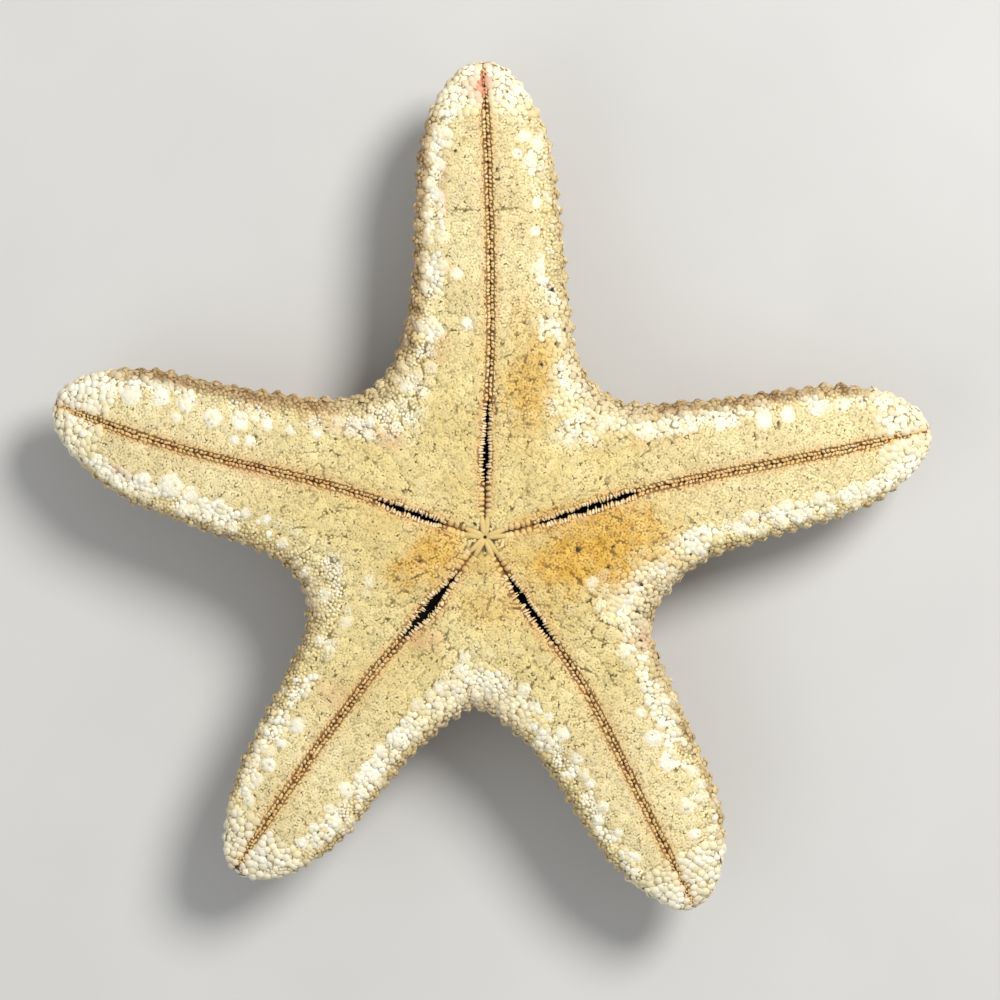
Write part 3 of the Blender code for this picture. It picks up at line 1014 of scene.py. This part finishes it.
class Dresser:
    """Lays grains and cells on the finished skin, coloured by the masks."""

    def __init__(self, skin, plates, pits, material):
        self.skin, self.plates, self.pits, self.material = skin, plates, pits, material

    def values(self, at, fields):
        values = paint(at, fields, self.plates)
        # The pit mask is painted shade in and round the pits; the dark mask, painted shade too, is
        # set on the body only.
        values["pit"] = self.pits.dark(at, fields)
        values["dark"] = np.zeros(len(at))
        return values

    def grains(self, name, skin, where, kind):
        """One kind of grain on the part of a skin where it belongs."""
        gap, height, tones, sides, rings, fat = GRAIN_KINDS[kind]
        fine = kind == "fine"
        at, normal, fields = skin.scatter(where, gap, FINE_TRIES if fine else TRIES)
        values = self.values(at, fields)
        keep = values["pit"] < 0.25
        if fine:
            keep &= values["joint"] < 0.7
        if gap < 1:
            keep &= (values["bare"] < 0.5) | (random.random(len(at)) < 0.6)
        del values["bare"]
        at, normal, fields = at[keep], normal[keep], fields[keep]
        values = {key: value[keep] for key, value in values.items()}
        values["white"] = np.clip(values["white"] * (0.7 + 0.6 * random.random(len(at))), 0, 1)
        values["tone"] += tones * (random.random(len(at)) - 0.5)
        values["tone"] -= 0.3 * (random.random(len(at)) < 0.05) * fine
        values["joint"] *= 0.4 * fine
        values["pit"] *= 1.0 * fine
        values["furrow"] *= 1.0 if fine else 0.35
        radius = gap * fat * (0.86 + 0.28 * random.random(len(at)))
        tall = height * radius * (0.75 + 0.5 * random.random(len(at)))
        domes(name, Grains(at, normal, radius, tall, values), sides, rings, self.material)
        skin.take(at, radius)


def make_body(dresser, triangles, patches, places, on_back):
    """The skin itself, which shows between the grains, mostly in painted shade: the mouth side and
    the back.
    """
    skin = dresser.skin
    values = dresser.values(skin.points, skin.fields)
    s, d, back, arm = skin.fields[:, (S, D, BACK, ARM)].T
    front = back < 0.5
    # Painted shade, dark to black: a broken line down each furrow, the mouth and the open slits.
    dark = values["dark"]
    line = 0.1 + 0.7 * smooth(noise(skin.points, 1.1), 0.42, 0.66)
    in_line = front & (d < 0.22) & (s > 1)
    dark[in_line] = line[in_line]
    dark[front & (np.hypot(s, d) < MOUTH_RADIUS)] = 0.75
    for patch in patches:
        if not patch.back:
            dark[patch.grid[in_slit(patch)]] = 1.0
    at_tip = s > reach_of(arm) - NARROWING
    # The gap mask paints shade on the skin between the grains, but not on bare plates; at the tips
    # all over.
    values["gap"] = np.where(at_tip, 1, 1 - smooth(values.pop("bare"), 0.35, 0.6))
    for name, mine in (("mouth_side", ~on_back), ("back_side", on_back)):
        used, corners = np.unique(triangles[mine], return_inverse=True)
        own = {key: value[used] for key, value in values.items()}
        piece = new_piece(
            name, skin.points[used], corners.reshape(-1, 3), own, places[mine],
            dresser.material,
        )
        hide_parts("starfish")


def make_grains(dresser):
    """Grains from the largest to the smallest, each kind where the photograph has it."""
    skin = dresser.skin
    s, d, u, across, back, arm, side = skin.middle_fields.T
    front = back < 0.5
    slit, to_tip = slit_beside(arm, s), reach_of(arm) - s
    band = np.where(slit > SLIT_OPEN, 1.2, 1.45) * np.sqrt(np.clip(to_tip / NARROWING, 0.1, 1))
    clear = ~front | (d > band + slit)
    tip = (to_tip < TIP_GRAINS) & clear & (front | (across > 0.5))
    side_band = (front & (across > 0.95)) | (~front & (across > 0.8))
    notch = front & clear & (u < 0.3) & (across > 0.72) & (across < 0.95)
    notch &= notch_white(arm, side) > 0.5
    middles = skin.points[skin.triangles].mean(1)
    notch |= clear & (cobbled(middles, skin.middle_fields) > 0.5)
    for name, where, kind in (
        ("tip_grains", tip, "tip"),
        ("tip_fill", tip, "tip_fill"),
        ("side_grains", side_band, "side"),
        ("notch_grains", notch, "notch"),
        ("rim_grains", front & (across > 0.8) & clear, "rim"),
        ("back_grains", ~front, "back"),
        ("fine_grains_a", front & clear & (arm < 2.5), "fine"),
        ("fine_grains_b", front & clear & (arm > 2.5), "fine"),
    ):
        dresser.grains(name, skin, where, kind)


def on_mouth_side(half, s, d):
    """Places on the mouth side, by the distance along the furrow and from it."""
    fine = np.linspace(0, 1, 2001)
    axis, edge = half.axis(fine), half.edge(fine)
    width = half.half_width(edge)
    foot = s
    for _ in range(12):
        u = np.interp(foot, axis, fine)
        across = np.clip(d / np.maximum(np.interp(u, fine, width), 1e-6), 0, 1)
        foot = s - across * (np.interp(u, fine, edge) - foot)
    points, _ = half.place(u, across, False)
    points[:, 2] -= FURROW_DEPTH * np.exp(-((d / FURROW_REACH) ** 2)) * half.closing(s)
    return points


# How rusty the cells along each furrow are, and where the long plates at the mouth end
RUSTY = (0.32, 0.55, 0.48, 0.45, 0.4)
PETALS_END = 5.0

# Kinds of cell along a furrow: distance from it at the start and the end, how far forward
# the end is, height of the start and the end, half-width, half-depth, taper and pitch
Cell = namedtuple("Cell", "outer inner forward low high width depth taper pitch")
MOUTH_CELL = Cell(1.62, 0.0, 0.0, -0.05, 0.1, 0.72, 0.46, -0.1, 1.2)
SPINE = Cell(1.0, -0.15, 0.1, 0.0, 0.3, 0.4, 0.32, 0.35, 0.7)
BRAID = Cell(0.72, 0.15, 0.8, 0.0, 0.1, 0.42, 0.4, 0.0, 0.95)
SIDE_BRAID = Cell(1.42, 1.1, 0.9, 0.0, 0.0, 0.32, 0.3, 0.1, 1.16)
FEATHER = Cell(1.5, 0.85, -0.3, 0.0, 0.05, 0.24, 0.25, 0.5, 0.75)
CROSSING = 0.22  # the share of the spines that reach over the slit


def furrow_row(half, kinds):
    """One row of cells along a furrow: starts, ends, widths, depths, tapers, rust and white."""
    first, last = SLITS[half.index][1:3]
    at_mouth, at_slit, beyond = kinds
    s, cells_at = PETALS_END + 0.4 * random.random(), []
    while s < half.arm.reach - 1.8:
        gaping = slit_width(half.index, np.array((s,)))[0] > SLIT_OPEN
        kind = at_mouth if s < first else at_slit if gaping and s < last else beyond
        if kind:
            cells_at.append((s, kind))
        s += (kind.pitch if kind else 0.5) * (0.7 + 0.6 * random.random())
    s = np.array([place for place, _ in cells_at])
    cell = Cell(*np.array([kind for _, kind in cells_at]).T)
    luck = random.random((6, len(s)))
    is_spine, is_braid = cell.pitch == SPINE.pitch, cell.pitch == BRAID.pitch
    line = np.stack((s, s * 0, s * 0 + 5.0 * half.index), -1)
    wander = 0.16 * half.side * (noise(line, 2.4) - 0.5)
    at_edge = np.where(is_spine, slit_width(half.index, s), 0)
    narrow = np.sqrt(np.clip((half.arm.reach - s) / NARROWING, 0.2, 1))
    outer = (cell.outer + at_edge + wander + 0.4 * (luck[0] - 0.5)) * narrow
    inner = (cell.inner + at_edge + wander + 0.25 * (luck[1] - 0.5)) * narrow
    ahead = cell.forward + 0.9 * (luck[2] - 0.5) * (cell.pitch < MOUTH_CELL.pitch)
    inner -= (is_spine & (luck[5] < CROSSING)) * (at_edge + 0.2)
    start = on_mouth_side(half, s, outer)
    end = on_mouth_side(half, s + ahead, np.maximum(inner, 0.05))
    start[:, 2] += cell.low
    end[:, 2] += cell.high * (0.5 + luck[3])
    rust = RUSTY[half.index] * (0.1 + 1.4 * luck[4])
    rust = np.where(is_braid, rust, np.where(is_spine, 0.12, rust * 0.7))
    rust = np.where(s < first, 0.1 + 0.3 * luck[4] * smooth(s, 5, 9), rust)
    width = cell.width * (0.7 + 0.5 * luck[5]) * np.maximum(narrow, 0.7)
    chalky = np.where(is_spine, 0.7 * luck[1], 0.3 * luck[1] ** 3)
    return start, end, width, cell.depth, cell.taper, rust, chalky


def make_furrows(dresser, halves):
    """Cells along both sides of each furrow: plates at the mouth, then spines, then a braid."""
    rows = []
    for half in halves:
        rows.append(furrow_row(half, (MOUTH_CELL, SPINE, BRAID)))
        rows.append(furrow_row(half, (None, FEATHER, SIDE_BRAID)))
    rows = [np.concatenate(part) for part in zip(*rows)]
    start, end, width, depth, taper, rust, chalky = rows
    values = masks(
        len(start),
        white=chalky,
        furrow=np.clip(rust, 0, 1),
        ochre=0.5 * stains(start, STAINS_PX),
        pink=stains(start, PINK_PX),
        tone=0.16 * (random.random(len(start)) - 0.6),
    )
    lying_cells("furrow_cells", start, end, width, depth, taper, values, dresser.material)


def make_mouth(dresser, halves):
    """Ten long plates round the mouth, two at the end of each furrow."""
    near, far = np.array((0.25,)), np.array((PETALS_END + 0.2,))
    start = np.concatenate([on_mouth_side(h, near, near * 0.6) for h in halves])
    end = np.concatenate([on_mouth_side(h, far, near * 3.2) for h in halves])
    start[:, 2] = RIM_HEIGHT + CROWN_DISC - 0.3
    end[:, 2] = RIM_HEIGHT + CROWN_DISC - 0.5
    count = len(start)
    values = masks(count, ochre=0.25, furrow=0.1, tone=0.1 * (random.random(count) - 1.3))
    width, depth = 0.64 + 0.14 * random.random(count), np.full(count, 0.42)
    lying_cells("mouth_plates", start, end, width, depth, -0.25, values, dresser.material)


# A knob's profile from its tip up to the skin, as radius and height: the tip of those that it
# rests on, the tip of the others, and the flank. FOOT_PLAY is how far a foot's flank is lower.
KNOB_SIDES = 28
FOOT_TIP = ((0.0, 0.0), (1.4, 0.0), (2.6, 0.0), (2.95, 0.25))
ROUND_TIP = ((0.0, 0.0), (1.2, 0.1), (2.2, 0.5), (2.9, 1.3))
KNOB_FLANK = (
    (3.3, 2.2), (3.65, 3.2), (3.95, 4.2), (4.3, 5.2), (4.8, 6.1), (5.5, 6.9), (6.4, 7.7),
    (7.4, 8.6),
)
FOOT_PLAY = 0.5
KNOB_ACROSS = 0.5  # what the field reaches at a knob's root, from 0 at its tip
KNOB_FROM_FURROW = 9.0


def make_knobs(dresser):
    """The feet that it rests on, and a row of knobs that shrinks along each arm."""
    points, fields, triangles, places = [], [], [], []
    angles = 2 * math.pi * np.arange(KNOB_SIDES) / KNOB_SIDES
    low, size = cells(len(ARMS) * (1 + len(KNOBS_AT)))
    for index, arm in enumerate(ARMS):
        for s, scale in ((FEET_AT, 1.0), *zip(KNOBS_AT, KNOB_SCALES)):
            foot = s == FEET_AT
            profile = np.array((FOOT_TIP if foot else ROUND_TIP) + KNOB_FLANK) * scale
            if foot:
                profile[len(FOOT_TIP):, 1] -= FOOT_PLAY
            x, y = on_arm(arm, s, 0.0, smooth(s / arm.reach, 0, SETTLE))
            skin_at = rim_height(arm, s) - thickness(KEEL_DISC, KEEL_ARM, s)
            z = 0.0 if foot else skin_at - SKIN_AT * scale
            rings = np.empty((len(profile), KNOB_SIDES, 3))
            rings[..., 0] = x + profile[:, :1] * np.cos(angles)
            rings[..., 1] = y + profile[:, :1] * np.sin(angles)
            rings[..., 2] = z + profile[:, 1:]
            flat = rings.reshape(-1, 3)
            ripple = 1 + 0.1 * (rough(flat, 3.0) - 0.5)
            flat[:, :2] = (x, y) + (flat[:, :2] - (x, y)) * ripple[:, None]
            count = len(fields) * len(flat)
            points.append(flat)
            share = np.repeat(profile[:, 1] / profile[-1, 1], KNOB_SIDES)
            full = np.ones(len(flat))
            fields.append(np.stack((
                full * s, full * KNOB_FROM_FURROW, full * 0.5, share * KNOB_ACROSS, full,
                full * index, full,
            ), -1))
            grid = count + np.arange(len(flat)).reshape(len(profile), KNOB_SIDES)
            grid[0] = count
            corners, spots = tube(grid)
            triangles.append(corners[:, ::-1])
            places.append((low[len(fields) - 1] + size * (0.05 + 0.9 * spots))[:, ::-1])
    points, fields = np.concatenate(points), np.concatenate(fields)
    triangles, places = np.concatenate(triangles), np.concatenate(places)
    used, corners = np.unique(triangles, return_inverse=True)
    points, fields, triangles = points[used], fields[used], corners.reshape(-1, 3)
    knobs = Skin(points, triangles, fields)
    values = dresser.values(points, fields)
    height = fields[:, ACROSS] / KNOB_ACROSS
    tip = smooth(height, 0.35, 0.1)
    del values["bare"]
    values["brown"] = 0.75 - 0.35 * tip
    values["white"] = np.maximum(values["white"] * 0.5, 0.3 * tip)
    # Painted shade on the knob's upper flank, towards and under the body.
    values["gap"] = smooth(height, 0.2, 0.4)
    new_piece("knobs", points, triangles, values, places, dresser.material)
    flank = knobs.middle_fields[:, ACROSS] > 0.28 * KNOB_ACROSS
    dresser.grains("knob_grains", knobs, flank, "knob")


# The studio, in metres, and the picture's width in pixels
LIT_POINT = (0.0, 0.0, 0.02)
FLOOR_SIZE = 6.0
CAMERA_ABOVE = 1.0
FRAME_PX = 1000


def add_light(name, place, size, power, colour):
    """A round soft light that is aimed at the starfish."""
    data = bpy.data.lights.new(name, "AREA")
    data.shape, data.size = "DISK", size
    data.energy, data.color = power, colour
    lamp = add(name, data)
    lamp.location = place
    way = Vector(LIT_POINT) - lamp.location
    lamp.rotation_euler = way.to_track_quat("-Z", "Y").to_euler()


def floor_material():
    n = Nodes("pale_floor")
    shade = n.mix(n.span(n.noise(60.0), 0.3, 0.7), srgb(202, 201, 199), srgb(207, 206, 204))
    n.set(n.shader.inputs["Base Color"], shade)
    n.shader.inputs["Roughness"].default_value = 0.9
    return n.material


def studio():
    """A pale floor, soft light from the upper right, and the camera straight above."""
    bpy.ops.mesh.primitive_plane_add(size=FLOOR_SIZE)
    floor = bpy.context.object
    floor.name = "floor"
    floor.data.materials.append(floor_material())
    add_light("key", (0.6, 0.55, 1.0), 0.5, 16.1, (1.0, 0.985, 0.95))
    add_light("fill", (-0.9, -0.5, 0.9), 1.2, 3.8, (0.95, 0.97, 1.0))
    world = bpy.data.worlds.new("studio")
    world.use_nodes = True
    back = world.node_tree.nodes["Background"]
    back.inputs["Color"].default_value = (0.96, 0.98, 1.0, 1)
    back.inputs["Strength"].default_value = 0.38
    bpy.context.scene.world = world

    middle_px = FRAME_PX / 2
    x = MOUTH[0] + (middle_px - MOUTH_PX[0]) * PIXEL
    y = MOUTH[1] - (middle_px - MOUTH_PX[1]) * PIXEL
    data = bpy.data.cameras.new("camera")
    camera = add("camera", data)
    camera.location = (x * MM, y * MM, RIM_HEIGHT * MM + CAMERA_ABOVE)
    data.sensor_width = 36.0
    data.lens = data.sensor_width * CAMERA_ABOVE / (FRAME_PX * PIXEL * MM)
    bpy.context.scene.camera = camera
    bpy.context.scene.view_settings.view_transform = "Standard"


def main():
    material = skin_material()
    halves = half_arms()
    points, triangles, fields, patches, places, on_back = base_skin(halves)
    smooth_body = Skin(points, triangles, fields)
    plates = make_plates(smooth_body)
    lift = lift_skin(points, fields, patches, plates)
    skin = Skin(points + smooth_body.normals * lift[:, None], triangles, fields)
    dresser = Dresser(skin, plates, Pits(skin), material)
    make_body(dresser, triangles, patches, places, on_back)
    make_furrows(dresser, halves)
    make_mouth(dresser, halves)
    make_grains(dresser)
    dresser.pits.make_floors(material)
    make_knobs(dresser)
    studio()


main()
